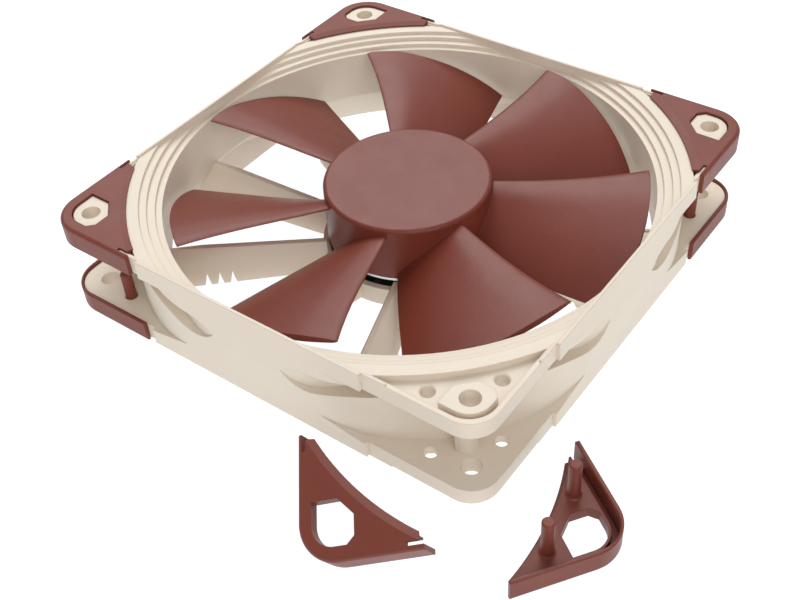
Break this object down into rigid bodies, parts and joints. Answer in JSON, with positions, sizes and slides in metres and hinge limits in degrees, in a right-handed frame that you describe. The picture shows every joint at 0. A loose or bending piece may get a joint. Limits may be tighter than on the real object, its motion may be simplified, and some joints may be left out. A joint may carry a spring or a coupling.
{
  "type": "case fan",
  "caption": "Square computer case fan: open-corner frame with guide vanes, swept impeller on a motor hub, and soft corner pads, one pair taken off.",
  "frame": {"origin": "On the impeller's axis, at the level of the flat outer faces of the exhaust-side pads, which is the floor the fan lies on.", "axes": "+Z along the impeller's axis towards the intake side (up), +X and +Y along the frame's sides. The bare corner is at +X -Y."},
  "size_m": [0.1457, 0.147, 0.026],
  "materials": {
    "frame_plastic": "matte",
    "impeller_plastic": "satin",
    "pad_rubber": "satin",
    "yoke_steel": "satin",
    "magnet_rubber": "matte",
    "brass": "satin",
    "shaft_steel": "polished",
    "shell_brass": "satin",
    "sleeve_bronze": "matte",
    "seal_rubber": "matte",
    "clip_nylon": "satin",
    "thrust_plastic": "satin",
    "magnet_steel": "satin",
    "laminations": "satin",
    "bobbin_nylon": "matte",
    "copper_wire": "gloss",
    "pin_metal": "satin",
    "board_black": "satin",
    "chip_black": "matte",
    "capacitor_ceramic": "satin",
    "resistor_black": "gloss",
    "label_film": "satin"
  },
  "bodies": {
    "frame": {"fan_frame": "frame_plastic", "bearing_shell": "shell_brass", "bearing_sleeve": "sleeve_bronze", "oil_seal": "seal_rubber", "retaining_clip": "clip_nylon", "thrust_pad": "thrust_plastic", "stabiliser_magnet": "magnet_steel", "stator_core": "laminations", "bobbin_upper": "bobbin_nylon", "bobbin_lower": "bobbin_nylon", "stator_coils": "copper_wire", "winding_pins": "pin_metal", "circuit_board": "board_black", "driver_chip": "chip_black", "hall_sensor": "chip_black", "board_capacitors": "capacitor_ceramic", "board_resistors": "resistor_black", "hub_label": "label_film"},
    "impeller": {"impeller": "impeller_plastic", "rotor_yoke": "yoke_steel", "rotor_magnet": "magnet_rubber", "shaft_bush": "brass", "rotor_shaft": "shaft_steel"},
    "intake_pad_back_right": {"intake_pad_back_right": "pad_rubber"},
    "intake_pad_back_left": {"intake_pad_back_left": "pad_rubber"},
    "intake_pad_front_left": {"intake_pad_front_left": "pad_rubber"},
    "exhaust_pad_back_right": {"exhaust_pad_back_right": "pad_rubber"},
    "exhaust_pad_back_left": {"exhaust_pad_back_left": "pad_rubber"},
    "exhaust_pad_front_left": {"exhaust_pad_front_left": "pad_rubber"},
    "loose_intake_pad": {"loose_intake_pad": "pad_rubber"},
    "loose_exhaust_pad": {"loose_exhaust_pad": "pad_rubber"}
  },
  "joints": [
    {"name": "impeller_spin", "type": "hinge", "parent": "frame", "child": "impeller", "pos_m": [0, 0, 0.012], "axis": [0, 0, 1], "continuous": true},
    {"name": "intake_pad_back_right_pull", "type": "slide", "parent": "frame", "child": "intake_pad_back_right", "axis": [0, 0, 1], "range_m": [0, 0.014]},
    {"name": "intake_pad_back_left_pull", "type": "slide", "parent": "frame", "child": "intake_pad_back_left", "axis": [0, 0, 1], "range_m": [0, 0.014]},
    {"name": "intake_pad_front_left_pull", "type": "slide", "parent": "frame", "child": "intake_pad_front_left", "axis": [0, 0, 1], "range_m": [0, 0.014]},
    {"name": "exhaust_pad_back_right_pull", "type": "slide", "parent": "frame", "child": "exhaust_pad_back_right", "axis": [0, 0, -1], "range_m": [0, 0.014]},
    {"name": "exhaust_pad_back_left_pull", "type": "slide", "parent": "frame", "child": "exhaust_pad_back_left", "axis": [0, 0, -1], "range_m": [0, 0.014]},
    {"name": "exhaust_pad_front_left_pull", "type": "slide", "parent": "frame", "child": "exhaust_pad_front_left", "axis": [0, 0, -1], "range_m": [0, 0.014]},
    {"name": "loose_intake_pad_lift", "type": "slide", "parent": "frame", "child": "loose_intake_pad", "axis": [0, 0, 1], "range_m": [0, 0.03]},
    {"name": "loose_exhaust_pad_lift", "type": "slide", "parent": "frame", "child": "loose_exhaust_pad", "axis": [0, 0, 1], "range_m": [0, 0.03]}
  ]
}
